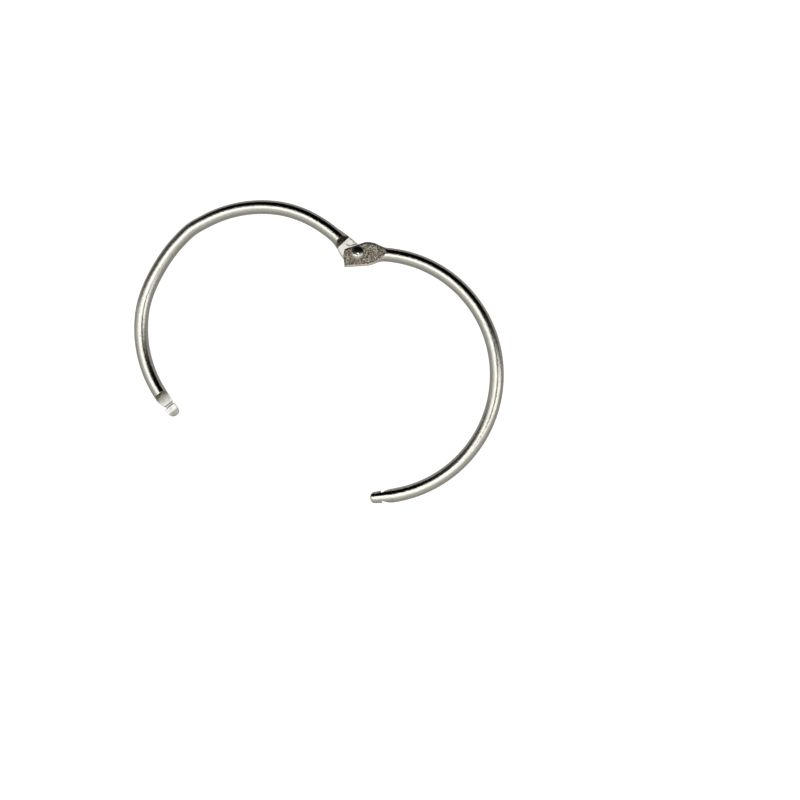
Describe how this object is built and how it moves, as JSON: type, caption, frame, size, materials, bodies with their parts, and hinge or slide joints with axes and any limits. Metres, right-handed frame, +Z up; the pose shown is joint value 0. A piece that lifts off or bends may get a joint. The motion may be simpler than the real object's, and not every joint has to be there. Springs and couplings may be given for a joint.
{
  "type": "binder ring",
  "caption": "Hinged loose-leaf binder ring: two half rings of plated round wire turn on a rivet and latch at their stepped tips.",
  "frame": {"origin": "centre of the box of the open ring as it lies, at the level of the surface that its wire rests on", "axes": "+X across the two half rings, +Y from the open latch towards the hinge, +Z up along the rivet towards its domed head"},
  "size_m": [0.0852, 0.0548, 0.0037],
  "materials": {
    "ring_wire": "bright nickel plate on steel wire, fine drawing marks, grainy coined leaves",
    "rivet_steel": "bright nickel plate, polished dome"
  },
  "bodies": {
    "root": {"upper_half_ring": "ring_wire", "hinge_rivet": "rivet_steel"},
    "lower_half": {"lower_half_ring": "ring_wire"}
  },
  "joints": [
    {"name": "ring_hinge", "type": "hinge", "parent": "root", "child": "lower_half", "pos_m": [0, 0.02232, 0.00155], "axis": [0, 0, -1], "range_deg": [-58, 85]}
  ]
}
